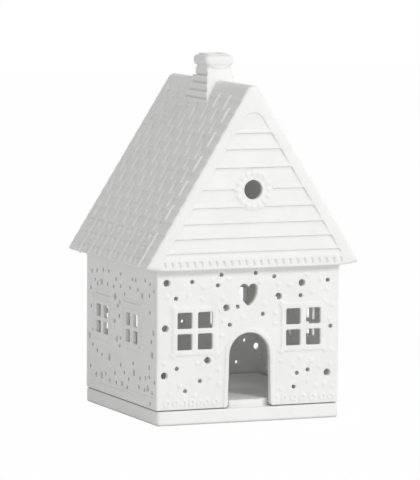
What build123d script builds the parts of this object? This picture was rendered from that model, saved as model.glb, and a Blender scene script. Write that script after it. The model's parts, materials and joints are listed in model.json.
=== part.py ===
from build123d import *
import os
from math import asin, ceil, cos, degrees, pi, radians, sin, tan

# A white porcelain tealight house: a pierced lantern house with roof and chimney,
# which stands loose on a base plate and hides a tealight in its only room.
# Units are millimetres. The front faces -Y, +X is to the right, +Z is up, and the
# origin is under the middle of the base plate.

# Base plate: a little narrower than the house, and a little deeper
plate_side_inset = 0.25
plate_end_reach = 0.6
plate_height = 8.3
plate_corner_radius = 2.0
plate_edge_radius = 0.9

# Raised floor on the plate, which centres the house, and its tongue in the doorway
floor_height = 4.4
floor_clearance = 1.2
floor_edge_radius = 1.1
tongue_gap = 1.7
tongue_shift = -1.3
tongue_setback = 1.5
tongue_corner_radius = 3.0

# Room walls
seat_gap = 0.3
house_width = 112.0
house_depth = 110.4
wall_height = 79.7
wall_thickness = 3.5
wall_inner_radius = 3.0
wall_outer_radius = 1.1
wall_edge_radius = 0.7
cove_height = 2.3
cove_reach = 1.5
cove_bend_height_share = 0.6
cove_bend_reach_share = 0.3

# Surface relief of the walls
relief_height = 0.6
surround_relief = 0.85
relief_sink = 0.2
pearl_radius = 1.6
pearl_height = 0.6
overrun = 5.0

# Round piercings
large_hole_radius = 2.0
medium_hole_radius = 1.6
small_hole_radius = 1.2

# Doorway
door_width = 26.4
door_shift = 0.6
door_height = 42.4
door_jamb_lean = 0.8
door_foot_radius = 2.0
moulding_width = 2.3
moulding_groove = 0.6

# Windows in the front and back walls
front_window_width = 21.2
front_window_height = 21.2
front_bar_width = 3.6
front_cross_bar_width = 3.0
front_frame_width = 2.9
pane_corner_radius = 0.3

# Hollow behind every window, which leaves its bars thin
window_bar_depth = 1.6
window_rebate = 0.8

# Heart over the door
heart_width = 10.8
heart_height = 12.7
heart_notch_depth = 2.2

# Windows in the side walls, with their stone surrounds
side_window_width = 18.5
side_window_height = 16.6
side_bar_width = 4.1
side_cross_bar_width = 2.3
side_frame_width = 1.9
surround_width = 34.0
quoin_width = 3.6
quoin_height = 3.3
quoin_count = 6
quoin_relief_share = 0.8
ledge_height = 1.0
plinth_ridge_height = 6.3
plinth_ridge_width = 1.1
plinth_ridge_inset = 4.0

# Scalloped rings along the foot of the front and back walls
scallop_radius = 2.0
scallop_bore_radius = 1.0
scallop_height = 3.9

# Roof
eaves_overhang = 10.5
gable_overhang = 7.0
roof_angle = 58.03
ridge_radius = 4.2
soffit_rise = 1.2
eaves_tip_radius = 1.2
slope_thickness = 4.0
flange_height = 3.7
gable_thickness = 3.6
gable_lean_angle = 1.13
rake_radius = 2.0

# Tile relief of the roof slopes
tile_length = 7.93
tile_lip = 0.55
rib_pitch = 7.75
rib_base_width = 2.4
rib_top_width = 0.9
rib_height = 0.85
rib_length = 11.3
long_rib_length = 24.0
short_rib_length = 4.8
short_rib_courses = 3
rib_margin = 3.5

# Boarded panel of the gables
bargeboard_width = 6.7
panel_foot = 5.5
panel_top_radius = 7.0
board_lip_recess = 0.05
board_flare_height = 2.2
board_foot_recess = 0.55
board_top_recess = 1.15
round_window_height = 44.2
round_window_radius = 5.5
wreath_radius = 9.6
wreath_land_radius = 11.7
wreath_recess = 0.6
petal_radius = 1.8
petal_count = 16
petal_height = 0.7
tassel_width = 1.4
tassel_height = 3.6
tassel_pitch = 4.5
tassel_depth = 0.75
tassel_foot = 1.3
tassel_slant_angle = 14.0
tassel_bend_radius = 3.6

# Chimney
stack_top_width = 15.2
stack_top_depth = 17.2
stack_top_shift = -1.1
stack_rise = 3.1
stack_foot_width = 21.8
stack_foot_depth = 37.3
stack_foot_shift = 2.35
stack_taper_height = 20.4
stack_bedding = 1.5
brick_course_height = 4.4
brick_joint = 0.9
brick_joint_depth = 0.5
flue_width = 8.4
flue_depth = 9.2
flue_shift = -1.0
neck_height = 1.5
cap_width = 18.2
cap_depth = 20.2
cap_height = 5.7
cap_roll_levels = 8
cap_corner_radius = 2.6
cap_sag = 1.6
cap_sag_reach = 0.7
collar_width = 14.0
collar_depth = 15.0
collar_height = 1.0

# Tealight
cup_radius = 19.0
cup_height = 16.0
cup_wall = 0.4
cup_rim_width = 0.6
cup_clearance = 0.3
wax_fill_height = 13.2
wick_radius = 0.8
wick_proud = 4.5
sustainer_radius = 6.5
sustainer_thickness = 0.4
tealight_left = 8.0
tealight_back = 10.0

# Heights on the walls, up from the wall's foot as shares of its height
front_window_sill_share = 0.4253
heart_tip_share = 0.7202
side_window_sill_share = 0.4341
surround_foot_share = 0.394
surround_top_share = 0.7327

# Middles of the windows across a wall, as shares of half its width
front_window_place_shares = (-0.586, 0.602)
side_window_place_shares = (-0.507, 0.332)

# Edges of the gable's boards, as shares of the roof's height over the walls
board_edge_shares = (0.088, 0.163, 0.240, 0.324, 0.420, 0.533, 0.629, 0.715)

# Places on the front wall: across from the middle as a share of half the width,
# and up from the wall's foot as a share of its height
front_large_hole_shares = [
    (-0.891, 0.905), (-0.905, 0.583), (-0.914, 0.248), (-0.243, 0.714), (-0.445, 0.345),
    (0.330, 0.782), (0.586, 0.872), (0.873, 0.221),
]
front_small_hole_shares = [
    (-0.616, 0.907), (-0.791, 0.793), (-0.336, 0.876), (-0.298, 0.950), (0.075, 0.955),
    (0.279, 0.925), (0.873, 0.885), (0.573, 0.782), (-0.120, 0.718), (0.157, 0.660),
    (-0.204, 0.592), (0.907, 0.553), (-0.779, 0.295), (-0.527, 0.201), (-0.688, 0.134),
    (0.539, 0.225), (0.657, 0.246), (0.504, 0.127),
]
front_pearl_shares = [
    (-0.393, 0.921), (-0.223, 0.921), (-0.500, 0.871), (-0.661, 0.814), (-0.509, 0.783),
    (-0.893, 0.808), (-0.286, 0.783), (-0.304, 0.701), (-0.277, 0.626), (-0.062, 0.645),
    (-0.295, 0.519), (-0.920, 0.338), (-0.562, 0.331), (-0.357, 0.381), (-0.321, 0.275),
    (-0.420, 0.225), (-0.321, 0.174), (-0.750, 0.174), (-0.589, 0.099), (-0.857, 0.118),
    (0.116, 0.890), (0.321, 0.871), (0.446, 0.864), (0.643, 0.933), (0.786, 0.896),
    (0.866, 0.821), (0.696, 0.808), (0.170, 0.733), (0.357, 0.720), (0.295, 0.664),
    (0.295, 0.588), (0.893, 0.607), (0.920, 0.708), (0.357, 0.319), (0.571, 0.338),
    (0.500, 0.281), (0.696, 0.312), (0.786, 0.268), (0.920, 0.381), (0.911, 0.281),
    (0.357, 0.118), (0.652, 0.168), (0.750, 0.124), (0.839, 0.143), (0.929, 0.118),
]
scallop_place_shares = [
    -0.884, -0.789, -0.705, -0.616, -0.534, -0.452, -0.362,
    0.304, 0.400, 0.504, 0.598, 0.709, 0.825, 0.914,
]
# Places that only the back wall has, where the front wall has its door and heart
back_small_hole_shares = [(-0.066, 0.457)]
back_pearl_shares = [
    (-0.150, 0.120), (0.120, 0.210), (-0.060, 0.300), (0.160, 0.390), (-0.180, 0.420),
    (0.040, 0.560), (-0.030, 0.800), (0.090, 0.110),
]

# Places on the left wall, across as a share of half its width
side_large_hole_shares = [
    (-0.565, 0.806), (-0.170, 0.730), (0.583, 0.793), (-0.121, 0.425), (0.866, 0.389),
    (-0.330, 0.272), (0.366, 0.220), (-0.553, 0.122), (0.750, 0.139), (-0.911, 0.388),
]
side_medium_hole_shares = [(0.904, 0.547), (0.033, 0.114), (-0.710, 0.118), (0.786, 0.294)]
side_small_hole_shares = [
    (-0.842, 0.868), (-0.703, 0.881), (-0.516, 0.898), (-0.359, 0.898), (-0.016, 0.901),
    (-0.149, 0.854), (-0.754, 0.811), (-0.679, 0.784), (-0.389, 0.802), (-0.214, 0.798),
    (-0.024, 0.814), (0.094, 0.769), (0.250, 0.822), (0.308, 0.888), (0.408, 0.887),
    (0.467, 0.823), (0.667, 0.906), (0.799, 0.887), (0.904, 0.844), (0.788, 0.806),
    (0.801, 0.683), (-0.797, 0.696), (-0.879, 0.744), (-0.861, 0.606), (-0.040, 0.699),
    (-0.096, 0.668), (-0.051, 0.597), (-0.181, 0.551), (0.842, 0.481), (-0.819, 0.438),
    (-0.022, 0.440), (-0.036, 0.383), (-0.815, 0.329), (-0.678, 0.295), (-0.547, 0.279),
    (-0.004, 0.246), (0.348, 0.286), (0.094, 0.199), (0.221, 0.162), (-0.172, 0.173),
    (-0.875, 0.166), (-0.437, 0.143), (-0.317, 0.109), (-0.130, 0.105), (0.185, 0.097),
    (0.540, 0.196), (0.504, 0.130), (0.692, 0.210), (0.797, 0.225), (0.938, 0.199),
    (0.661, 0.123), (0.870, 0.120), (0.817, 0.038),
]

half_width = house_width / 2
half_depth = house_depth / 2
plate_width = house_width - 2 * plate_side_inset
plate_depth = house_depth + 2 * plate_end_reach
wall_foot = plate_height + seat_gap
wall_top = wall_foot + wall_height
inner_width = house_width - 2 * wall_thickness
inner_depth = house_depth - 2 * wall_thickness
eaves_width = house_width + 2 * eaves_overhang
roof_depth = house_depth + 2 * gable_overhang
slope = radians(roof_angle)
roof_rise = eaves_width / 2 * tan(slope)
apex = wall_top + roof_rise
stack_top_height = apex + stack_rise
gable_tilt = radians(gable_lean_angle)


def box_between(low, high):
    """A box from its lowest to its highest corner."""
    size = [high[i] - low[i] for i in range(3)]
    return Pos(*low) * Box(*size, align=(Align.MIN, Align.MIN, Align.MIN))


def prism(points, plane, amount):
    """The outline of the points on a plane, drawn out along the plane's normal."""
    return extrude(plane * make_face(Polyline(*points, close=True)), amount=amount)


def solid_of(shape):
    """The single solid that a node is made of."""
    solids = shape.solids()
    if len(solids) != 1:
        raise ValueError(f"expected one solid, found {len(solids)}")
    return solids[0]


def export(name, shape):
    """Write one node."""
    shape.label = name
    export_step(shape, f"parts/{name}.step")
    print(name, round(shape.volume), shape.is_valid)


# Base plate with its raised floor and the tongue that fills the doorway
def make_base():
    slab = extrude(RectangleRounded(plate_width, plate_depth, plate_corner_radius), plate_height)
    rims = slab.faces().filter_by(Axis.Z).edges()
    slab = fillet(rims, plate_edge_radius)
    floor_width = inner_width - 2 * floor_clearance
    floor_depth = inner_depth - 2 * floor_clearance
    floor = RectangleRounded(floor_width, floor_depth, wall_inner_radius - floor_clearance)
    tongue_front = half_depth - tongue_setback
    tongue = Pos(door_shift + tongue_shift, -tongue_front) * Rectangle(
        door_width - 2 * tongue_gap, tongue_front, align=(Align.CENTER, Align.MIN)
    )
    tongue = fillet(tongue.vertices().group_by(Axis.Y)[0], tongue_corner_radius)
    floor = extrude(Pos(0, 0, plate_height) * (floor + tongue), floor_height)
    floor = fillet(floor.faces().sort_by(Axis.Z)[-1].outer_wire().edges(), floor_edge_radius)
    return solid_of(slab + floor)


# Every wall is drawn as a front wall, with its outer face towards -Y
front_face = Plane(origin=(0, -half_depth, 0), x_dir=(1, 0, 0), z_dir=(0, -1, 0))


def wall_ring():
    """The four walls in one, with the cove that carries the eaves."""
    ring = extrude(Pos(0, 0, wall_foot) * RectangleRounded(house_width, house_depth, wall_outer_radius),
                   wall_height)
    ring = fillet(ring.faces().sort_by(Axis.Z)[0].edges(), wall_edge_radius)
    levels = ((0, 0), (cove_bend_height_share, cove_bend_reach_share), (1, 1))
    sections = []
    for height_share, reach_share in levels:
        reach = 2 * cove_reach * reach_share
        level = wall_top - cove_height * (1 - height_share)
        sections.append(Pos(0, 0, level) * RectangleRounded(
            house_width + reach, house_depth + reach, wall_outer_radius))
    ring += loft(sections, ruled=True)
    room = Pos(0, 0, wall_foot - overrun) * RectangleRounded(inner_width, inner_depth, wall_inner_radius)
    return ring - extrude(room, wall_height + 2 * overrun)


def wall_blank(ring, width, depth):
    """One wall of the ring, cut along the mitres through its corners."""
    reach = wall_thickness + wall_inner_radius
    outline = [
        (-width / 2 - overrun, -depth / 2 - overrun),
        (width / 2 + overrun, -depth / 2 - overrun),
        (width / 2 - reach, -depth / 2 + reach),
        (-width / 2 + reach, -depth / 2 + reach),
    ]
    wedge = prism(outline, Plane.XY.offset(wall_foot - overrun), wall_height + 2 * overrun)
    return ring & wedge


def wall_holes(shares, radius, width, face, hand=1):
    """Round piercings straight through the wall, deep enough for the rounded inner corners."""
    depth = wall_thickness + wall_inner_radius
    drill = Cylinder(radius, 2 * depth)
    return [
        face * Pos(hand * across_share * width / 2, wall_foot + up_share * wall_height) * drill
        for across_share, up_share in shares
    ]


def dome(radius, height):
    """A low round pearl whose foot is sunk into the wall."""
    sphere_radius = (radius ** 2 + height ** 2) / (2 * height)
    ball = Pos(0, 0, height - sphere_radius) * Sphere(sphere_radius)
    return ball & box_between((-radius * 2, -radius * 2, -relief_sink), (radius * 2, radius * 2, height * 2))


def pearls(shares, radius, width, face, hand=1):
    pearl = dome(radius, pearl_height)
    return [
        face * Pos(hand * across_share * width / 2, wall_foot + up_share * wall_height) * pearl
        for across_share, up_share in shares
    ]


def raised(face, sketch, height):
    """A sketch on a wall as relief, with its foot sunk into the wall."""
    return extrude(face.offset(-relief_sink) * sketch, height + relief_sink)


def panes(width, height, bar, cross_bar):
    """The four panes of a window about its middle."""
    pane_width = (width - bar) / 2
    pane_height = (height - cross_bar) / 2
    across = (bar + pane_width) / 2
    up = (cross_bar + pane_height) / 2
    pane = RectangleRounded(pane_width, pane_height, pane_corner_radius)
    return [Pos(i * across, k * up) * pane for i in (-1, 1) for k in (-1, 1)]


def window_hollow(face, middle, width, height):
    """The shallow hollow in a wall's inner face, behind the bars of a window."""
    outline = middle * RectangleRounded(
        width + 2 * window_rebate, height + 2 * window_rebate, pane_corner_radius)
    return extrude(face.offset(-window_bar_depth) * outline, -wall_thickness - overrun)


def door_outline(grow, foot_radius=0):
    """The arched doorway, its jambs leaning in a little; the opening itself flares at its foot."""
    foot = door_width / 2 + grow
    spring_half = foot - door_jamb_lean
    top = wall_foot + door_height + grow
    spring = top - spring_half
    foot_level = wall_foot - overrun
    outline = make_face(Curve() + [
        Line((-spring_half, spring), (-foot, wall_foot)),
        Line((-foot, wall_foot), (-foot, foot_level)),
        Line((-foot, foot_level), (foot, foot_level)),
        Line((foot, foot_level), (foot, wall_foot)),
        Line((foot, wall_foot), (spring_half, spring)),
        ThreePointArc((spring_half, spring), (0, top), (-spring_half, spring)),
    ])
    if foot_radius:
        flare = Rectangle(2 * (foot + foot_radius), overrun + foot_radius, align=(Align.CENTER, Align.MIN))
        outline += Pos(0, foot_level) * flare
        for side in (-1, 1):
            outline -= Pos(side * (foot + foot_radius), wall_foot + foot_radius) * Circle(foot_radius)
    return Pos(door_shift, 0) * outline


def heart_outline():
    """A plain heart: two round lobes over a point."""
    lobe = heart_width / 4
    tip = wall_foot + heart_tip_share * wall_height
    lobe_level = tip + heart_height - lobe
    notch = lobe_level + lobe - heart_notch_depth
    half = heart_width / 2
    lobe_end_share = 0.35
    side_level = lobe_level - lobe * lobe_end_share
    lines = [
        ThreePointArc((0, notch), (lobe, lobe_level + lobe), (half, lobe_level)),
        ThreePointArc((half, lobe_level), (half - lobe * lobe_end_share / 2, side_level - lobe), (0, tip)),
        ThreePointArc((0, tip), (-half + lobe * lobe_end_share / 2, side_level - lobe), (-half, lobe_level)),
        ThreePointArc((-half, lobe_level), (-lobe, lobe_level + lobe), (0, notch)),
    ]
    return make_face(Curve() + lines)


def end_wall(blank, front):
    """The front wall, or the back wall, which has no door and no heart."""
    width = house_width
    window_level = wall_foot + front_window_sill_share * wall_height + front_window_height / 2
    frame_width = front_window_width + 2 * front_frame_width
    frame_height = front_window_height + 2 * front_frame_width
    relief = []
    cuts = []
    for place_share in front_window_place_shares:
        middle = Pos(place_share * half_width, window_level)
        relief.append(raised(front_face, middle * RectangleRounded(
            frame_width, frame_height, pane_corner_radius), relief_height))
        cuts.append(window_hollow(front_face, middle, front_window_width, front_window_height))
        for pane in panes(front_window_width, front_window_height, front_bar_width, front_cross_bar_width):
            cuts.append(extrude(front_face.offset(overrun) * middle * pane,
                                -wall_thickness - 2 * overrun))
        for i in (-1, 1):
            for k in (-1, 1):
                corner = middle * Pos(i * frame_width / 2, k * frame_height / 2)
                relief.append(front_face * corner * dome(pearl_radius + relief_height / 2,
                                                         pearl_height + relief_sink))
    scallop = Circle(scallop_radius) - Circle(scallop_bore_radius)
    scallop -= Pos(0, -scallop_radius) * Rectangle(scallop_bore_radius, 2 * scallop_radius)
    for share in scallop_place_shares:
        place = Pos(share * width / 2, wall_foot + scallop_height)
        relief.append(raised(front_face, place * scallop, relief_height))
    relief += pearls(front_pearl_shares, pearl_radius, width, front_face)
    cuts += wall_holes(front_large_hole_shares, large_hole_radius, width, front_face)
    cuts += wall_holes(front_small_hole_shares, small_hole_radius, width, front_face)
    if front:
        inner_ring = door_outline(moulding_width / 2 - moulding_groove / 2)
        outer_ring = door_outline(moulding_width) - door_outline(moulding_width / 2 + moulding_groove / 2)
        above_foot = Pos(0, wall_foot) * Rectangle(
            width, wall_height, align=(Align.CENTER, Align.MIN))
        relief.append(raised(front_face, inner_ring & above_foot, relief_height))
        relief.append(raised(front_face, outer_ring & above_foot, relief_height))
        through = -wall_thickness - 2 * overrun
        cuts.append(extrude(front_face.offset(overrun) * door_outline(0, door_foot_radius), through))
        cuts.append(extrude(front_face.offset(overrun) * heart_outline(), through))
    else:
        relief += pearls(back_pearl_shares, pearl_radius, width, front_face)
        cuts += wall_holes(back_small_hole_shares, small_hole_radius, width, front_face)
    return solid_of(blank + relief - cuts)


side_face = Plane(origin=(0, -half_width, 0), x_dir=(1, 0, 0), z_dir=(0, -1, 0))


def side_wall(blank, hand):
    """A side wall, still facing -Y; hand -1 mirrors its pattern."""
    width = house_depth
    relief = []
    cuts = []
    middle_level = wall_foot + side_window_sill_share * wall_height + side_window_height / 2
    foot = wall_foot + surround_foot_share * wall_height
    top = wall_foot + surround_top_share * wall_height
    surround_height = top - foot
    quoin_pitch = (surround_height - quoin_height) / (quoin_count - 1)
    frame_width = side_window_width + 2 * side_frame_width
    frame_height = side_window_height + 2 * side_frame_width
    ledge_gap = ledge_height * 2
    for place_share in side_window_place_shares:
        across = hand * place_share * half_depth
        middle = Pos(across, middle_level)
        frame = RectangleRounded(frame_width, frame_height, pane_corner_radius)
        relief.append(raised(side_face, middle * frame, surround_relief))
        cuts.append(window_hollow(side_face, middle, side_window_width, side_window_height))
        for pane in panes(side_window_width, side_window_height, side_bar_width, side_cross_bar_width):
            cuts.append(extrude(side_face.offset(overrun) * middle * pane,
                                -wall_thickness - 2 * overrun))
        ledges = (
            (foot, surround_width),
            (foot + ledge_gap, frame_width + ledge_gap),
            (top - ledge_gap, frame_width + ledge_gap),
            (top, surround_width),
        )
        for level, ledge_width in ledges:
            ledge = Pos(across, level) * Rectangle(ledge_width, ledge_height)
            relief.append(raised(side_face, ledge, surround_relief))
        for i in range(quoin_count):
            level = foot + quoin_height / 2 + i * quoin_pitch
            for side in (-1, 1):
                place_x = across + side * (surround_width - quoin_width) / 2
                block = Pos(place_x, level) * RectangleRounded(quoin_width, quoin_height, pane_corner_radius)
                relief.append(raised(side_face, block, quoin_relief_share * surround_relief))
    ridge = Pos(0, wall_foot + plinth_ridge_height) * Rectangle(
        width - 2 * plinth_ridge_inset, plinth_ridge_width)
    relief.append(raised(side_face, ridge, surround_relief))
    cuts += wall_holes(side_large_hole_shares, large_hole_radius, width, side_face, hand)
    cuts += wall_holes(side_medium_hole_shares, medium_hole_radius, width, side_face, hand)
    cuts += wall_holes(side_small_hole_shares, small_hole_radius, width, side_face, hand)
    return solid_of(blank + relief - cuts)


# Roof. Its section is drawn in the XZ plane, and gable planes lean in towards the ridge
def roof_outline():
    """The roof's section: a triangle with rounded corners, its soffit rising to the eaves."""
    tip_x = eaves_width / 2 - soffit_rise / tan(slope)
    soffit_start = half_width + cove_reach
    outline = make_face(Polyline(
        (-soffit_start, wall_top), (soffit_start, wall_top), (tip_x, wall_top + soffit_rise),
        (0, apex), (-tip_x, wall_top + soffit_rise), close=True))
    tips = outline.vertices().filter_by(lambda corner: abs(corner.X) > soffit_start + cove_reach)
    outline = fillet(tips, eaves_tip_radius)
    top = outline.vertices().sort_by(Axis.Y)[-1]
    return fillet(top, ridge_radius)


def gable_plane(depth):
    """The front gable's leaning plane, depth inside its outer face: across, and up the lean."""
    origin = (0, -roof_depth / 2 + depth / cos(gable_tilt), wall_top)
    return Plane(origin=origin, x_dir=(1, 0, 0), z_dir=(0, -cos(gable_tilt), sin(gable_tilt)))


def beyond(depth, both=True):
    """All that lies in front of a leaning plane, and its match at the back."""
    block = gable_plane(depth) * Pos(0, roof_rise / 2) * Box(
        eaves_width + 2 * overrun, roof_rise + 8 * overrun, roof_depth,
        align=(Align.CENTER, Align.CENTER, Align.MIN))
    return [block, Rot(0, 0, 180) * block] if both else [block]


def attic():
    """The space under the slopes, open below between the walls."""
    half = eaves_width / 2 - slope_thickness / sin(slope)
    flange_top = wall_top + flange_height
    half_at_flange = half - flange_height / tan(slope)
    peak = wall_top + half * tan(slope)
    outline = [
        (-inner_width / 2, wall_top - overrun), (inner_width / 2, wall_top - overrun),
        (inner_width / 2, flange_top), (half_at_flange, flange_top),
        (0, peak), (-half_at_flange, flange_top), (-inner_width / 2, flange_top),
    ]
    return prism(outline, Plane.XZ.offset(-roof_depth), 2 * roof_depth)


def tile_bed():
    """All that lies under the tiles' faces, each course lapping the one below, and the ridge."""
    half = eaves_width / 2
    courses = int(half / cos(slope) / tile_length)
    points = []
    for i in range(courses):
        for climb, depth in ((i, 0), (i + 1, tile_lip)):
            run = climb * tile_length
            x = half - run * cos(slope) - depth * sin(slope)
            z = wall_top + run * sin(slope) - depth * cos(slope)
            points.append((x, z))
    left = [(-x, z) for x, z in reversed(points)]
    inner_half = half - 2 * tile_lip / sin(slope)
    inner_peak = wall_top + inner_half * tan(slope)
    right_bound = [(half + overrun, wall_top - overrun)] + points + [(0, inner_peak)]
    left_bound = left + [(-half - overrun, wall_top - overrun)]
    bed = prism(right_bound + left_bound, Plane.XZ.offset(-roof_depth), 2 * roof_depth)
    return bed + Pos(0, 0, apex) * Box(4 * ridge_radius, 2 * roof_depth, 4 * ridge_radius)


def slope_plane(side):
    """On a slope's outer face, at the wall top's level: across towards the front, up the slope."""
    normal = (side * sin(slope), 0, cos(slope))
    return Plane(origin=(side * eaves_width / 2, 0, wall_top), x_dir=(0, side, 0), z_dir=normal)


def rib(length):
    """One raised tile roll, tapered all round, with its foot sunk into the slope."""
    foot = Pos(0, 0, -2 * tile_lip) * Rectangle(rib_base_width, length)
    top = Pos(0, 0, rib_height) * Rectangle(rib_top_width, length - 2 * rib_height)
    return loft([foot, top])


def stack_section(level):
    """The chimney stack's width, depth and shift at a height: it narrows steadily upwards."""
    share = (stack_top_height - level) / stack_taper_height
    width = stack_top_width + share * (stack_foot_width - stack_top_width)
    depth = stack_top_depth + share * (stack_foot_depth - stack_top_depth)
    shift = stack_top_shift + share * (stack_foot_shift - stack_top_shift)
    return width, depth, shift


def clear_of_stack(y, climb):
    """Whether a tile roll that starts this far up a slope starts outside the chimney stack."""
    x = eaves_width / 2 - climb * cos(slope)
    width, depth, shift = stack_section(wall_top + climb * sin(slope))
    margin = 2 * tile_lip
    return x > width / 2 + margin or abs(y - shift) > depth / 2 + margin


def ribs(side):
    """The tile rolls of one slope: long ones at the eaves, then staggered short ones."""
    plane = slope_plane(side)
    common = rib(rib_length)
    first = rib(long_rib_length)
    stub = rib(short_rib_length)
    slope_length = eaves_width / 2 / cos(slope)
    made = []
    columns = int((roof_depth - 2 * (gable_thickness + rib_margin)) / rib_pitch)
    middle_column = (columns - 1) / 2
    for column in range(columns):
        y = (column - middle_column) * rib_pitch
        across = side * y
        staggered = column % 2 == 1
        if staggered:
            for i in range(short_rib_courses):
                made.append(plane * Pos(across, short_rib_length + i * tile_length) * stub)
            start = short_rib_courses * tile_length
        else:
            made.append(plane * Pos(across, soffit_rise + long_rib_length / 2) * first)
            start = (short_rib_courses + 1) * tile_length
        while start + rib_length < slope_length - ridge_radius and clear_of_stack(y, start):
            made.append(plane * Pos(across, start + rib_length / 2) * common)
            start += 2 * tile_length
    return made


def flue():
    bottom = apex - slope_thickness / cos(slope) - 2 * overrun
    top = stack_top_height + neck_height + cap_height + collar_height + overrun
    return Pos(0, flue_shift, bottom) * Box(
        flue_width, flue_depth, top - bottom, align=(Align.CENTER, Align.CENTER, Align.MIN))


def stack_courses(rise):
    """The stack's brick courses, stepped out downwards, each drawn up by a rise."""
    made = []
    for i in range(ceil((stack_taper_height + overrun) / brick_course_height)):
        top = stack_top_height - i * brick_course_height
        width, depth, shift = stack_section(top)
        foot_width, foot_depth, foot_shift = stack_section(top - brick_course_height)
        front = foot_shift - foot_depth / 2
        made.append(box_between(
            (-width / 2, front, top - brick_course_height), (width / 2, shift + depth / 2, top + rise)))
    return made


def stack_blank():
    """The stack without its brick joints: smooth in front, stepped at its sides and back."""
    courses = stack_courses(0)
    lowest = stack_top_height - len(courses) * brick_course_height
    outline = []
    for level in (lowest, stack_top_height):
        width, depth, shift = stack_section(level)
        outline.append((shift - depth / 2, level))
    outline += [(roof_depth, stack_top_height), (roof_depth, lowest)]
    behind_front = prism(outline, Plane.YZ.offset(-eaves_width / 2), eaves_width)
    bed_apex = apex - stack_bedding / cos(slope)
    roof_below = make_face(Polyline(
        (-eaves_width, bed_apex - eaves_width * tan(slope)), (eaves_width, bed_apex - eaves_width * tan(slope)),
        (0, bed_apex), close=True))
    roof_below = fillet(roof_below.vertices().sort_by(Axis.Y)[-1], ridge_radius - stack_bedding)
    roof_below = extrude(Plane.XZ.offset(-roof_depth) * roof_below, 2 * roof_depth)
    return solid_of(((Part() + courses) & behind_front) - roof_below - flue())


def make_stack(blank):
    """The brick stack, its joints pressed in at the sides and back between the courses."""
    joints = []
    for i in range(1, ceil(stack_taper_height / brick_course_height)):
        low = stack_top_height - i * brick_course_height
        width, depth, shift = stack_section(low + brick_course_height)
        core = Pos(0, shift - brick_joint_depth, low) * Box(
            width - 2 * brick_joint_depth, depth, brick_joint, align=(Align.CENTER, Align.CENTER, Align.MIN))
        band = Pos(0, shift, low) * Box(
            width + overrun, depth + overrun, brick_joint, align=(Align.CENTER, Align.CENTER, Align.MIN))
        in_front = box_between(
            (-width, -roof_depth, low - brick_joint), (width, shift - depth / 2, low + 2 * brick_joint))
        joints.append(band - core - in_front)
    return solid_of(blank - joints)


def make_cap(stack):
    """The chimney's crown: a neck, a rounded band that sags in front, and a collar."""
    foot = stack_top_height
    band_foot = foot + neck_height
    shift = stack_top_shift
    widest = (cap_width - stack_top_width, cap_depth - stack_top_depth)
    sections = [Pos(0, shift, foot) * RectangleRounded(stack_top_width, stack_top_depth, cap_corner_radius)]
    for i in range(cap_roll_levels + 1):
        turn = pi * i / cap_roll_levels
        level = band_foot + cap_height * (1 - cos(turn)) / 2
        width, depth = [
            size + sin(turn) * growth
            for size, growth in zip((stack_top_width, stack_top_depth), widest)
        ]
        sections.append(Pos(0, shift, level) * RectangleRounded(width, depth, cap_corner_radius))
    cap = loft(sections, ruled=True)
    collar = Pos(0, flue_shift, band_foot + cap_height) * RectangleRounded(
        collar_width, collar_depth, cap_corner_radius)
    cap += extrude(collar, collar_height)
    front = shift - stack_top_depth / 2
    sag_plane = Plane(origin=(0, front, 0), x_dir=(1, 0, 0), z_dir=(0, -1, 0))
    half = stack_top_width / 2
    sag_top = band_foot + cap_height / 4
    belly = make_face(Curve() + [
        ThreePointArc((-half, sag_top), (0, band_foot - cap_sag), (half, sag_top)),
        Line((half, sag_top), (-half, sag_top)),
    ])
    cap += extrude(sag_plane.offset(-cap_sag_reach) * belly, 2 * cap_sag_reach)
    return solid_of(cap - stack - flue())


def board_profile():
    """The boarded panel's section: each board leans back from its flared lower edge."""
    top = apex - wall_top
    edges = [panel_foot] + [share * roof_rise for share in board_edge_shares] + [top]
    points = []
    for low, high in zip(edges[:-1], edges[1:]):
        points.append((low, -board_lip_recess))
        points.append((low + board_flare_height, -board_foot_recess))
        points.append((high, -board_top_recess))
    return points


def panel_cut(plane):
    """What is taken away in front of the boards, inside the bargeboards."""
    points = board_profile()
    profile = [(overrun, points[0][0]), *[(depth, up) for up, depth in points], (overrun, points[-1][0])]
    side = Plane(origin=plane.origin - plane.x_dir * eaves_width, x_dir=plane.z_dir, z_dir=-plane.x_dir)
    boards = extrude(side * make_face(Polyline(*profile, close=True)), -2 * eaves_width)
    half = eaves_width / 2 - bargeboard_width / sin(slope)
    half_at_foot = half - panel_foot / tan(slope)
    outline = make_face(Polyline(
        (-half_at_foot, panel_foot), (half_at_foot, panel_foot), (0, half * tan(slope)), close=True))
    outline = fillet(outline.vertices().sort_by(Axis.Y)[-1], panel_top_radius)
    window_land = Pos(0, round_window_height) * Circle(wreath_land_radius)
    outline -= window_land
    land = extrude(plane.offset(-wreath_recess) * window_land, overrun)
    return [boards & extrude(plane.offset(overrun) * outline, -3 * overrun), land]


def wreath(plane):
    """Round petals about the gable's round window."""
    petal = dome(petal_radius, petal_height)
    centre = Pos(0, round_window_height)
    made = []
    for i in range(petal_count):
        turn = Rot(0, 0, 360 / petal_count * i)
        made.append(plane.offset(-wreath_recess) * centre * turn * Pos(wreath_radius, 0) * petal)
    return made


def tassels(plane):
    """Curved strokes pressed along the gable's foot, like a fringe under the boards."""
    reach = eaves_width / 2 - bargeboard_width - tassel_pitch
    count = int(reach / tassel_pitch)
    half_turn = degrees(asin((tassel_height - tassel_width) / 2 / tassel_bend_radius))
    bend = CenterArc((-tassel_bend_radius, 0), tassel_bend_radius, -half_turn, 2 * half_turn)
    stroke = SlotArc(bend, tassel_width)
    made = []
    for i in range(-count, count + 1):
        place = Pos(i * tassel_pitch, tassel_foot + tassel_height / 2) * Rot(0, 0, tassel_slant_angle)
        made.append(extrude(plane.offset(-tassel_depth) * place * stroke, overrun))
    return made


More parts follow.
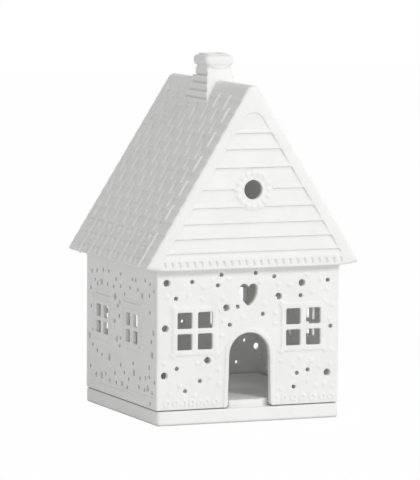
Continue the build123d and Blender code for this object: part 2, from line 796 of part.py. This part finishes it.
def make_gable(bed):
    """The front gable: a leaning plate, rounded over at its rakes, and its seat on the wall."""
    plate = extrude(Plane.XZ.offset(roof_depth / 2 + overrun) * roof_outline(), -roof_depth / 4)
    outer = beyond(0, both=False)[0]
    plate = plate - outer
    face = plate.faces().sort_by(Axis.Y)[0]
    rakes = ShapeList(
        edge for edge in face.edges() if edge.center().Z > wall_top + soffit_rise + eaves_tip_radius
    )
    plate = fillet(rakes, rake_radius)
    plate = plate & beyond(gable_thickness, both=False)[0] & bed
    seat_reach = half_depth - wall_thickness
    seat = box_between((-inner_width / 2, -roof_depth / 2, wall_top),
                       (inner_width / 2, -seat_reach, wall_top + flange_height))
    seat = seat - beyond(gable_thickness, both=False)[0]
    plane = gable_plane(0)
    cuts = panel_cut(plane) + tassels(plane)
    hole = plane * Pos(0, round_window_height) * Cylinder(round_window_radius, 4 * gable_thickness)
    plate = plate - cuts + wreath(plane) - hole
    return solid_of(plate + seat)


def make_slopes(stack, bed):
    """Both tiled slopes, split along the ridge."""
    body = extrude(Plane.XZ.offset(-roof_depth / 2) * roof_outline(), roof_depth)
    body = (body & bed) - attic()
    raised_stack = Part() + stack_courses(rib_height / cos(slope))
    body = body + ((Part() + ribs(-1) + ribs(1)) - raised_stack)
    body = body - beyond(gable_thickness) - stack - flue()
    half_space = box_between((0, -roof_depth, 0), (eaves_width, roof_depth, 2 * apex))
    right = solid_of(body & half_space)
    left = solid_of(body - half_space)
    return left, right


# Tealight
def make_tealight():
    floor = plate_height + floor_height + cup_clearance
    centre = Pos(-tealight_left, tealight_back, floor)
    inner_radius = cup_radius - cup_wall - cup_rim_width
    cup = Cylinder(cup_radius - cup_rim_width, cup_height, align=(Align.CENTER, Align.CENTER, Align.MIN))
    rim = Pos(0, 0, cup_height - cup_wall) * Cylinder(
        cup_radius, cup_wall, align=(Align.CENTER, Align.CENTER, Align.MIN))
    bore = Pos(0, 0, cup_wall) * Cylinder(
        inner_radius, cup_height, align=(Align.CENTER, Align.CENTER, Align.MIN))
    cup = cup + rim - bore
    disc = Pos(0, 0, cup_wall) * Cylinder(
        sustainer_radius, sustainer_thickness, align=(Align.CENTER, Align.CENTER, Align.MIN))
    wick_foot = cup_wall + sustainer_thickness
    wick_top = cup_wall + wax_fill_height + wick_proud
    wick = Pos(0, 0, wick_foot) * Cylinder(
        wick_radius, wick_top - wick_foot, align=(Align.CENTER, Align.CENTER, Align.MIN))
    wick = fillet(wick.faces().sort_by(Axis.Z)[-1].edges(), wick_radius / 2)
    wax = Pos(0, 0, cup_wall) * Cylinder(
        inner_radius, wax_fill_height, align=(Align.CENTER, Align.CENTER, Align.MIN))
    wax = wax - disc - wick
    return [centre * shape for shape in (cup, wax, wick, disc)]


def main():
    os.makedirs("parts", exist_ok=True)
    export("base_plate", make_base())
    ring = wall_ring()
    turned_ring = Rot(0, 0, 90) * ring
    end_blank = wall_blank(ring, house_width, house_depth)
    side_blank = wall_blank(turned_ring, house_depth, house_width)
    export("front_wall", end_wall(end_blank, True))
    export("back_wall", Rot(0, 0, 180) * end_wall(end_blank, False))
    export("left_wall", Rot(0, 0, -90) * side_wall(side_blank, 1))
    export("right_wall", Rot(0, 0, 90) * side_wall(side_blank, -1))
    blank = stack_blank()
    stack = make_stack(blank)
    bed = tile_bed()
    left, right = make_slopes(blank, bed)
    export("left_roof_slope", left)
    export("right_roof_slope", right)
    gable = make_gable(bed)
    export("front_gable", gable)
    export("back_gable", Rot(0, 0, 180) * gable)
    export("chimney_stack", stack)
    export("chimney_cap", make_cap(stack))
    for name, shape in zip(("tealight_cup", "tealight_wax", "tealight_wick", "wick_sustainer"),
                           make_tealight()):
        export(name, solid_of(shape))


main()
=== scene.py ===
import json
from math import cos, pi, radians, sin

import bpy
from mathutils import Matrix, Vector


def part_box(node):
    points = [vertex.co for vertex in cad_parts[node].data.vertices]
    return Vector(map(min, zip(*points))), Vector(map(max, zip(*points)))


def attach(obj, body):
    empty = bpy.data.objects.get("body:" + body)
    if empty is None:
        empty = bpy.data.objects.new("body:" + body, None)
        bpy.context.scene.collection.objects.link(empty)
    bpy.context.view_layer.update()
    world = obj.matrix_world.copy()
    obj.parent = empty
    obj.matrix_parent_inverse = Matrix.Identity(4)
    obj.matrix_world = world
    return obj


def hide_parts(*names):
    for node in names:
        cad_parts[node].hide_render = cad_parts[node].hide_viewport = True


# The white porcelain tealight house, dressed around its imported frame.
# Units are metres. The front faces -Y, and the plate stands on z = 0.

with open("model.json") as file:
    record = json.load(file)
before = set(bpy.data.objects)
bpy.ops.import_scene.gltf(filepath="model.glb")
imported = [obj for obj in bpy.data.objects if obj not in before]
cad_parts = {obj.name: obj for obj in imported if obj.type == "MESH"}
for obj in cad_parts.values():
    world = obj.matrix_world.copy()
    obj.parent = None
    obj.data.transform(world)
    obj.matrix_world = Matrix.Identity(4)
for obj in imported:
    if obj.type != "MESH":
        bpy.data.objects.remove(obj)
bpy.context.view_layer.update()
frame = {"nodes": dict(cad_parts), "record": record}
bpy.ops.object.select_all(action="DESELECT")

mm = 0.001

# Camera: where the photograph was taken from, about the middle of the house
camera_azimuth = radians(22.622)
camera_elevation = radians(5.781)
camera_roll = radians(0.368)
camera_distance = 2.417
camera_aim_height = 0.1
camera_slide_right = -0.000939
camera_slide_up = -0.001716
camera_lens = 314.5
camera_sight = 48.0
sensor_size = 36.0

# Porcelain body: how coarse the softened meshes are, and how soft their edges; the roof is crisper
wall_voxel = 0.42 * mm
roof_voxel = 0.36 * mm
plate_voxel = 0.4 * mm
soften_factor = 0.5
soften_steps = 3
roof_soften_steps = 1
triangle_limit = 190000
merge_reach = 0.001 * mm

# Grain of the bisque, in real sizes: its tooth, the waver of the cast wall, and faint clouds
tooth_size = 0.7 * mm
tooth_depth = 0.05 * mm
waver_size = 5.0 * mm
waver_depth = 0.12 * mm
cloud_size = 16.0 * mm
cloud_dull_share = 0.35
cloud_white_share = 0.65

# Painted shade: creases and piercings are darkened in colour where little open sky is seen, standing
# in for the shade that falls there.
# How far a crease reaches, and how much of the white is left in it; a spot is a full crease or an open
# face at these shares of open sky
painted_shade_reach = 2.2 * mm
painted_shade_samples = 8
painted_shade_open_share = 0.95
painted_shade_shut_share = 0.3
painted_shade_white_share = 0.6

# How far light soaks into the two bodies that let it in
bisque_soak = 1.0 * mm
wax_soak = 3.0 * mm

# Marks of the tealight's materials: how wide they are, and how deep
foil_dent_size = 2.5 * mm
foil_dent_depth = 0.1 * mm
wax_frost_size = 3.0 * mm
wax_ripple_depth = 0.1 * mm
thread_size = 2.0 * mm
thread_depth = 0.1 * mm
tin_mottle_size = 1.0 * mm

# Tealight cup: its folded wall, its rounded foot and its rolled rim
flute_count = 48
flute_depth = 0.4 * mm
cup_foil = 0.25 * mm
cup_foot_bevel = 0.8 * mm
cup_foot_steps = 4
rim_roll = 0.42 * mm
rim_corners = 96
rim_roll_corners = 12
cup_crisp_angle = radians(35)

# Wax: the dish that it sets in
wax_corners = 96
wax_gap = 0.05 * mm
wax_shoulder = 1.2 * mm
dish_steps = 5
dish_depth = 0.7 * mm
wax_crisp_angle = radians(40)

# Wick: three twisted yarns, so every fourth of its twelve corners sinks between two of them
wick_corners = 12
corners_to_a_yarn = 4
wick_turns = 5
wick_rings = 40
wick_lobe_share = 0.72
wick_tip_share = 0.8
wick_crisp_angle = radians(60)

# Wick's foot: a stamped disc with a neck
foot_plate_corners = 64
foot_plate_bevel_share = 0.25
foot_plate_bevel_steps = 2
foot_plate_crisp_angle = radians(35)
neck_radius = 1.1 * mm
neck_height = 3.0 * mm
neck_flare = 0.6 * mm

# A face looks up or down when this share of its normal points that way
upright_share = 0.5

# Studio: a white floor, a key lamp and a higher lamp to the right of the front, and an even room
floor_size = 6.0
floor_glow_share = 0.985
key_azimuth = radians(18)
key_elevation = radians(28)
key_distance = 2.0
key_size = 0.45
key_power = 13.5
top_azimuth = radians(35)
top_elevation = radians(62)
top_size = 0.7
top_power = 2.6
room_strength = 0.86
ceiling_strength = 0.24
light_bounces = 16


def linear(hex_colour):
    """An sRGB hex colour as the linear colour that shaders take."""
    channels = [int(hex_colour[i:i + 2], 16) / 255 for i in (0, 2, 4)]
    return [c / 12.92 if c <= 0.04045 else ((c + 0.055) / 1.055) ** 2.4 for c in channels] + [1]


def add_node(tree, kind, settings=None, links=None):
    """Adds a node; settings are its properties and sockets, links are what feeds its sockets."""
    made = tree.nodes.new(kind)
    for key, value in (settings or {}).items():
        if isinstance(key, str) and hasattr(made, key):
            setattr(made, key, value)
        else:
            made.inputs[key].default_value = value
    for key, source in (links or {}).items():
        tree.links.new(source, made.inputs[key])
    return made


def new_material(name):
    material = bpy.data.materials.new(name)
    material.use_nodes = True
    material.node_tree.nodes.clear()
    return material, material.node_tree


# Bisque porcelain: unglazed, slip cast and fired white. It is a soft matt white with a fine tooth
# and a slight waver, with painted shade in its creases and piercings, and light soaks a little way
# into it.
def make_bisque():
    material, tree = new_material("bisque_porcelain")
    place = add_node(tree, "ShaderNodeTexCoord").outputs["Object"]
    clouds = add_node(tree, "ShaderNodeTexNoise",
                      {"Scale": 1 / cloud_size, "Detail": 3.0, "Roughness": 0.5}, {"Vector": place})
    colour = add_node(tree, "ShaderNodeValToRGB", {}, {"Fac": clouds.outputs["Fac"]})
    colour.color_ramp.elements[0].position = cloud_dull_share
    colour.color_ramp.elements[0].color = linear("F4F4F3")
    colour.color_ramp.elements[1].position = cloud_white_share
    colour.color_ramp.elements[1].color = linear("F8F8F7")
    # Painted shade: ambient occlusion darkens the colour in creases and piercings
    crease = add_node(tree, "ShaderNodeAmbientOcclusion",
                      {"samples": painted_shade_samples, "Distance": painted_shade_reach})
    crease_shade = add_node(tree, "ShaderNodeMapRange", {
        "From Min": painted_shade_shut_share,
        "From Max": painted_shade_open_share,
        "To Min": painted_shade_white_share,
    }, {"Value": crease.outputs["AO"]})
    body = add_node(tree, "ShaderNodeHueSaturation", {}, {
        "Color": colour.outputs["Color"],
        "Value": crease_shade.outputs["Result"],
    })
    waver = add_node(tree, "ShaderNodeTexNoise",
                     {"Scale": 1 / waver_size, "Detail": 2.0, "Roughness": 0.5}, {"Vector": place})
    uneven = add_node(tree, "ShaderNodeBump", {"Strength": 0.35, "Distance": waver_depth},
                      {"Height": waver.outputs["Fac"]})
    grain = add_node(tree, "ShaderNodeTexNoise",
                     {"Scale": 1 / tooth_size, "Detail": 2.0, "Roughness": 0.6}, {"Vector": place})
    tooth = add_node(tree, "ShaderNodeBump", {"Strength": 0.3, "Distance": tooth_depth},
                     {"Height": grain.outputs["Fac"], "Normal": uneven.outputs["Normal"]})
    rough = add_node(tree, "ShaderNodeMapRange",
                     {"From Min": 0.3, "From Max": 0.7, "To Min": 0.62, "To Max": 0.74},
                     {"Value": clouds.outputs["Fac"]})
    shader = add_node(tree, "ShaderNodeBsdfPrincipled", {
        "IOR": 1.5,
        "Subsurface Weight": 0.15,
        "Subsurface Radius": (1.0, 0.95, 0.9),
        "Subsurface Scale": bisque_soak,
    }, {
        "Base Color": body.outputs["Color"],
        "Roughness": rough.outputs["Result"],
        "Normal": tooth.outputs["Normal"],
    })
    add_node(tree, "ShaderNodeOutputMaterial", {}, {"Surface": shader.outputs["BSDF"]})
    return material


# Aluminium foil: pressed from bright sheet, so its small dents catch the light
def make_foil():
    material, tree = new_material("pressed_aluminium_foil")
    place = add_node(tree, "ShaderNodeTexCoord").outputs["Object"]
    dents = add_node(tree, "ShaderNodeTexNoise", {"Scale": 1 / foil_dent_size, "Detail": 2.0},
                     {"Vector": place})
    bumps = add_node(tree, "ShaderNodeBump", {"Strength": 0.3, "Distance": foil_dent_depth},
                     {"Height": dents.outputs["Fac"]})
    rough = add_node(tree, "ShaderNodeMapRange", {"To Min": 0.2, "To Max": 0.38},
                     {"Value": dents.outputs["Fac"]})
    shader = add_node(tree, "ShaderNodeBsdfPrincipled",
                      {"Base Color": linear("DCDDDF"), "Metallic": 1.0},
                      {"Roughness": rough.outputs["Result"], "Normal": bumps.outputs["Normal"]})
    add_node(tree, "ShaderNodeOutputMaterial", {}, {"Surface": shader.outputs["BSDF"]})
    return material


# Paraffin wax: poured and set, with a faint frost where it cooled last; light soaks into it
def make_wax():
    material, tree = new_material("poured_paraffin")
    place = add_node(tree, "ShaderNodeTexCoord").outputs["Object"]
    frost = add_node(tree, "ShaderNodeTexNoise", {"Scale": 1 / wax_frost_size, "Detail": 4.0},
                     {"Vector": place})
    colour = add_node(tree, "ShaderNodeValToRGB", {}, {"Fac": frost.outputs["Fac"]})
    colour.color_ramp.elements[0].color = linear("EFEDE4")
    colour.color_ramp.elements[1].color = linear("F7F6F1")
    ripple = add_node(tree, "ShaderNodeBump", {"Strength": 0.2, "Distance": wax_ripple_depth},
                      {"Height": frost.outputs["Fac"]})
    shader = add_node(tree, "ShaderNodeBsdfPrincipled", {
        "Roughness": 0.38,
        "IOR": 1.44,
        "Subsurface Weight": 0.6,
        "Subsurface Radius": (1.0, 0.9, 0.75),
        "Subsurface Scale": wax_soak,
    }, {"Base Color": colour.outputs["Color"], "Normal": ripple.outputs["Normal"]})
    add_node(tree, "ShaderNodeOutputMaterial", {}, {"Surface": shader.outputs["BSDF"]})
    return material


# Cotton wick: braided yarn, waxed stiff, so it is matt off-white with fine threads across it
def make_cotton():
    material, tree = new_material("waxed_cotton_braid")
    place = add_node(tree, "ShaderNodeTexCoord").outputs["Object"]
    threads = add_node(tree, "ShaderNodeTexWave",
                       {"bands_direction": "DIAGONAL", "Scale": 1 / thread_size, "Distortion": 2.0},
                       {"Vector": place})
    colour = add_node(tree, "ShaderNodeValToRGB", {}, {"Fac": threads.outputs["Fac"]})
    colour.color_ramp.elements[0].color = linear("D9D4C4")
    colour.color_ramp.elements[1].color = linear("EEEADF")
    yarn = add_node(tree, "ShaderNodeBump", {"Strength": 0.5, "Distance": thread_depth},
                    {"Height": threads.outputs["Fac"]})
    shader = add_node(tree, "ShaderNodeBsdfPrincipled", {"Roughness": 0.8},
                      {"Base Color": colour.outputs["Color"], "Normal": yarn.outputs["Normal"]})
    add_node(tree, "ShaderNodeOutputMaterial", {}, {"Surface": shader.outputs["BSDF"]})
    return material


# Tinned steel: stamped strip with a bright, slightly mottled tin skin
def make_tinplate():
    material, tree = new_material("stamped_tinned_steel")
    place = add_node(tree, "ShaderNodeTexCoord").outputs["Object"]
    mottle = add_node(tree, "ShaderNodeTexNoise", {"Scale": 1 / tin_mottle_size, "Detail": 3.0},
                      {"Vector": place})
    rough = add_node(tree, "ShaderNodeMapRange", {"To Min": 0.28, "To Max": 0.45},
                     {"Value": mottle.outputs["Fac"]})
    shader = add_node(tree, "ShaderNodeBsdfPrincipled",
                      {"Base Color": linear("C3C4C4"), "Metallic": 1.0},
                      {"Roughness": rough.outputs["Result"]})
    add_node(tree, "ShaderNodeOutputMaterial", {}, {"Surface": shader.outputs["BSDF"]})
    return material


# Floor: matt white paper. The camera sees it as bright as the room, with only a trace of shadow.
def make_paper():
    material, tree = new_material("white_paper")
    path = add_node(tree, "ShaderNodeLightPath")
    seen = add_node(tree, "ShaderNodeMath", {"operation": "MAXIMUM"},
                    {0: path.outputs["Is Camera Ray"], 1: path.outputs["Is Glossy Ray"]})
    share = add_node(tree, "ShaderNodeMath", {"operation": "MULTIPLY", 1: floor_glow_share},
                     {0: seen.outputs["Value"]})
    matt = add_node(tree, "ShaderNodeBsdfDiffuse", {"Color": linear("F0F0F0")})
    glow = add_node(tree, "ShaderNodeEmission", {"Color": linear("FFFFFF"), "Strength": 1.0})
    mix = add_node(tree, "ShaderNodeMixShader", {},
                   {0: share.outputs["Value"], 1: matt.outputs["BSDF"], 2: glow.outputs["Emission"]})
    add_node(tree, "ShaderNodeOutputMaterial", {}, {"Surface": mix.outputs["Shader"]})
    return material


bisque = make_bisque()
foil = make_foil()
wax = make_wax()
cotton = make_cotton()
tinplate = make_tinplate()
paper = make_paper()


def in_edit_mode(thing):
    """Makes a thing the only selected one and goes into edit mode with all of it selected."""
    bpy.ops.object.select_all(action="DESELECT")
    thing.select_set(True)
    bpy.context.view_layer.objects.active = thing
    bpy.ops.object.mode_set(mode="EDIT")
    bpy.ops.mesh.select_all(action="SELECT")


def finish_with(thing, kind, **settings):
    """Adds a modifier with its settings and applies it."""
    bpy.context.view_layer.objects.active = thing
    modifier = thing.modifiers.new(kind.title(), kind)
    for key, value in settings.items():
        setattr(modifier, key, value)
    bpy.ops.object.modifier_apply(modifier=modifier.name)


def belongs_to(piece, node, material, slot, *more_nodes):
    """Gives a piece its material, and puts it in place of the nodes that it stands for."""
    piece.data.materials.clear()
    piece.data.materials.append(material)
    for body, nodes in frame["record"]["behaviour"]["bodies"].items():
        if node in nodes:
            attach(piece, body)
    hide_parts(node, *more_nodes)


def cast_body(name, nodes, voxel, steps):
    """The frame's solids of one fired body, run together and softened as slip casting leaves them."""
    bpy.ops.object.select_all(action="DESELECT")
    for node in nodes:
        body = bpy.data.objects.new(name, frame["nodes"][node].data.copy())
        bpy.context.scene.collection.objects.link(body)
        body.select_set(True)
        bpy.context.view_layer.objects.active = body
    bpy.ops.object.join()
    body.name = name
    in_edit_mode(body)
    bpy.ops.mesh.remove_doubles(threshold=merge_reach)
    bpy.ops.object.mode_set(mode="OBJECT")
    finish_with(body, "REMESH", mode="VOXEL", voxel_size=voxel)
    finish_with(body, "SMOOTH", factor=soften_factor, iterations=steps)
    triangles = 2 * len(body.data.polygons)
    if triangles > triangle_limit:
        finish_with(body, "DECIMATE", ratio=triangle_limit / triangles)
    body.data.shade_smooth()
    belongs_to(body, nodes[0], bisque, "bisque_porcelain", *nodes[1:])


cast_body("house_walls", ["front_wall", "back_wall", "left_wall", "right_wall"],
          wall_voxel, soften_steps)
cast_body("house_roof", ["left_roof_slope", "right_roof_slope", "front_gable", "back_gable",
                         "chimney_stack", "chimney_cap"],
          roof_voxel, roof_soften_steps)
cast_body("base", ["base_plate"], plate_voxel, soften_steps)


def middle_and_size(node):
    """The middle of a node's box, its radius across, and its foot and top."""
    low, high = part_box(node)
    middle = ((low[0] + high[0]) / 2, (low[1] + high[1]) / 2)
    return middle, (high[0] - low[0]) / 2, low[2], high[2]


def add_cylinder(name, middle, radius, foot, top, corners):
    """An upright cylinder with closed ends, its origin at the scene's."""
    bpy.ops.object.select_all(action="DESELECT")
    bpy.ops.mesh.primitive_cylinder_add(vertices=corners, radius=radius, depth=top - foot,
                                        end_fill_type="NGON", location=(*middle, (foot + top) / 2))
    made = bpy.context.object
    made.name = name
    bpy.ops.object.transform_apply(location=True, rotation=True, scale=True)
    return made


def select_faces(thing, wanted):
    """In edit mode, selects only the faces whose middle and normal are wanted."""
    bpy.ops.mesh.select_mode(type="FACE")
    bpy.ops.mesh.select_all(action="DESELECT")
    bpy.ops.object.mode_set(mode="OBJECT")
    for face in thing.data.polygons:
        face.select = wanted(face.center, face.normal)
    bpy.ops.object.mode_set(mode="EDIT")


def select_corners(thing, wanted):
    """In edit mode, selects only the corners that are wanted, by number and place."""
    bpy.ops.mesh.select_mode(type="VERT")
    bpy.ops.mesh.select_all(action="DESELECT")
    bpy.ops.object.mode_set(mode="OBJECT")
    for corner in thing.data.vertices:
        corner.select = wanted(corner.index, corner.co)
    bpy.ops.object.mode_set(mode="EDIT")


def looks_up(place, normal):
    return normal.z > upright_share


def looks_down(place, normal):
    return normal.z < -upright_share


def spoke_of(place, middle, spokes):
    """On which of some even spokes round the middle a place stands, counted either way from +X."""
    away = Vector((place.x - middle[0], place.y - middle[1]))
    return round(away.angle(Vector((1, 0))) / (2 * pi) * spokes)


def make_cup():
    """The foil cup: a fluted wall with a rounded foot, and a rolled rim."""
    middle, radius, foot, top = middle_and_size("tealight_cup")
    wall_radius = radius - 2 * rim_roll
    corners = 2 * flute_count
    cup = add_cylinder("tealight_foil_cup", middle, wall_radius, foot, top - rim_roll, corners)
    centre = Vector((*middle, (foot + top) / 2))
    in_edit_mode(cup)
    select_faces(cup, looks_up)
    bpy.ops.mesh.delete(type="ONLY_FACE")
    select_corners(cup, lambda number, place: spoke_of(place, middle, corners) % 2 == 1)
    share = 1 - flute_depth / wall_radius
    bpy.ops.transform.resize(value=(share, share, 1), center_override=centre)
    select_faces(cup, looks_down)
    bpy.ops.mesh.bevel(offset=cup_foot_bevel, segments=cup_foot_steps, affect="EDGES")
    bpy.ops.object.mode_set(mode="OBJECT")
    finish_with(cup, "SOLIDIFY", thickness=cup_foil, offset=-1)
    bpy.ops.object.select_all(action="DESELECT")
    bpy.ops.mesh.primitive_torus_add(major_radius=radius - rim_roll, minor_radius=rim_roll,
                                     major_segments=rim_corners, minor_segments=rim_roll_corners,
                                     location=(*middle, top - rim_roll))
    rim = bpy.context.object
    bpy.ops.object.transform_apply(location=True, rotation=True, scale=True)
    cup.select_set(True)
    rim.select_set(True)
    bpy.context.view_layer.objects.active = cup
    bpy.ops.object.join()
    bpy.ops.object.shade_smooth_by_angle(angle=cup_crisp_angle)
    belongs_to(cup, "tealight_cup", foil, "cup_aluminium")


def make_wax_fill():
    """The wax: its top sinks in a shallow dish towards the wick."""
    middle, _, foot, top = middle_and_size("tealight_wax")
    radius = middle_and_size("tealight_cup")[1] - 2 * rim_roll - flute_depth - wax_gap
    fill = add_cylinder("tealight_wax_fill", middle, radius, foot, top, wax_corners)
    in_edit_mode(fill)
    select_faces(fill, looks_up)
    bpy.ops.mesh.inset(thickness=wax_shoulder)
    ring = (radius - wax_shoulder) / (dish_steps + 1)
    for i in range(dish_steps):
        turn = pi * (i + 1) / dish_steps
        drop = dish_depth * (cos(turn - pi / dish_steps) - cos(turn)) / 2
        bpy.ops.mesh.inset(thickness=ring)
        bpy.ops.transform.translate(value=(0, 0, -drop))
    bpy.ops.object.mode_set(mode="OBJECT")
    bpy.ops.object.shade_smooth_by_angle(angle=wax_crisp_angle)
    belongs_to(fill, "tealight_wax", wax, "paraffin_wax")


def make_wick():
    """The wick: three yarns twisted together, drawn up ring by ring."""
    middle, radius, foot, top = middle_and_size("tealight_wick")
    ring_height = (top - foot) / wick_rings
    wick = add_cylinder("tealight_cotton_wick", middle, radius, foot, foot + ring_height, wick_corners)
    centre = Vector((*middle, foot))
    in_edit_mode(wick)
    select_corners(wick, lambda number, place: (
        spoke_of(place, middle, wick_corners) % corners_to_a_yarn == corners_to_a_yarn / 2))
    bpy.ops.transform.resize(value=(wick_lobe_share, wick_lobe_share, 1), center_override=centre)
    select_faces(wick, looks_up)
    twist = 2 * pi * wick_turns / wick_rings
    for _ in range(wick_rings - 1):
        bpy.ops.mesh.extrude_region_move(TRANSFORM_OT_translate={"value": (0, 0, ring_height)})
        bpy.ops.transform.rotate(value=twist, orient_axis="Z", center_override=centre)
    bpy.ops.transform.resize(value=(wick_tip_share, wick_tip_share, 1), center_override=centre)
    bpy.ops.object.mode_set(mode="OBJECT")
    bpy.ops.object.shade_smooth_by_angle(angle=wick_crisp_angle)
    belongs_to(wick, "tealight_wick", cotton, "cotton_wick")


def make_sustainer():
    """The wick's foot: a thin stamped disc, drawn up into a short neck round the wick."""
    middle, radius, foot, top = middle_and_size("wick_sustainer")
    disc = add_cylinder("wick_foot_plate", middle, radius, foot, top, foot_plate_corners)
    in_edit_mode(disc)
    select_faces(disc, looks_up)
    bpy.ops.mesh.inset(thickness=radius - neck_radius - neck_flare)
    bpy.ops.mesh.inset(thickness=neck_flare)
    bpy.ops.mesh.extrude_region_move(TRANSFORM_OT_translate={"value": (0, 0, neck_height)})
    bpy.ops.mesh.inset(thickness=top - foot)
    bpy.ops.mesh.extrude_region_move(TRANSFORM_OT_translate={"value": (0, 0, foot - top)})
    bpy.ops.object.mode_set(mode="OBJECT")
    finish_with(disc, "BEVEL", width=foot_plate_bevel_share * (top - foot),
                segments=foot_plate_bevel_steps, limit_method="ANGLE")
    bpy.ops.object.shade_smooth_by_angle(angle=foot_plate_crisp_angle)
    belongs_to(disc, "wick_sustainer", tinplate, "tinned_steel")


make_cup()
make_wax_fill()
make_wick()
make_sustainer()


def make_camera():
    """The camera of the photograph: its axis, its roll, and its small slide off the middle."""
    level_share = cos(camera_elevation)
    forward = Vector((level_share * sin(camera_azimuth), level_share * cos(camera_azimuth),
                      -sin(camera_elevation)))
    level = Vector((cos(camera_azimuth), -sin(camera_azimuth), 0))
    lift = level.cross(forward)
    right = level * cos(camera_roll) + lift * sin(camera_roll)
    up = lift * cos(camera_roll) - level * sin(camera_roll)
    place = (Vector((0, 0, camera_aim_height)) - forward * camera_distance
             + right * camera_slide_right + up * camera_slide_up)
    turn = Matrix((right, up, -forward)).transposed().to_4x4()
    data = bpy.data.cameras.new("camera")
    data.lens = camera_lens
    data.sensor_width = sensor_size
    data.clip_end = camera_sight
    camera = bpy.data.objects.new("camera", data)
    camera.matrix_world = Matrix.Translation(place) @ turn
    bpy.context.scene.collection.objects.link(camera)
    bpy.context.scene.camera = camera


def make_lamp(name, azimuth, elevation, distance, size, power):
    """A square soft box that looks at the middle of the house; azimuth 0 is straight in front."""
    data = bpy.data.lights.new(name, "AREA")
    data.shape = "SQUARE"
    data.size = size
    data.energy = power
    lamp = bpy.data.objects.new(name, data)
    aim = Vector((0, 0, camera_aim_height))
    level_share = cos(elevation)
    away = Vector((level_share * sin(azimuth), -level_share * cos(azimuth), sin(elevation)))
    lamp.location = aim + distance * away
    lamp.rotation_euler = (-away).to_track_quat("-Z", "Y").to_euler()
    bpy.context.scene.collection.objects.link(lamp)


def make_world():
    """An even pale room, dimmer overhead; the camera and what it mirrors see its walls as white."""
    world = bpy.data.worlds.new("studio")
    bpy.context.scene.world = world
    world.use_nodes = True
    tree = world.node_tree
    tree.nodes.clear()
    towards = add_node(tree, "ShaderNodeTexCoord")
    height = add_node(tree, "ShaderNodeSeparateXYZ", {}, {"Vector": towards.outputs["Generated"]})
    light = add_node(tree, "ShaderNodeMapRange", {"To Min": room_strength, "To Max": ceiling_strength},
                     {"Value": height.outputs["Z"]})
    path = add_node(tree, "ShaderNodeLightPath")
    seen = add_node(tree, "ShaderNodeMath", {"operation": "MAXIMUM"},
                    {0: path.outputs["Is Camera Ray"], 1: path.outputs["Is Glossy Ray"]})
    level = add_node(tree, "ShaderNodeMapRange", {"To Max": 1.0},
                     {"Value": seen.outputs["Value"], "To Min": light.outputs["Result"]})
    back = add_node(tree, "ShaderNodeBackground", {"Color": linear("FFFFFF")},
                    {"Strength": level.outputs["Result"]})
    add_node(tree, "ShaderNodeOutputWorld", {}, {"Surface": back.outputs["Background"]})


make_camera()
make_lamp("key_softbox", key_azimuth, key_elevation, key_distance, key_size, key_power)
make_lamp("top_softbox", top_azimuth, top_elevation, key_distance, top_size, top_power)
make_world()
bpy.context.scene.cycles.max_bounces = light_bounces
bpy.context.scene.cycles.diffuse_bounces = light_bounces

bpy.ops.object.select_all(action="DESELECT")
bpy.ops.mesh.primitive_plane_add(size=floor_size)
floor = bpy.context.object
floor.name = "studio_floor"
floor.data.materials.append(paper)

bpy.context.scene.view_settings.view_transform = "Standard"
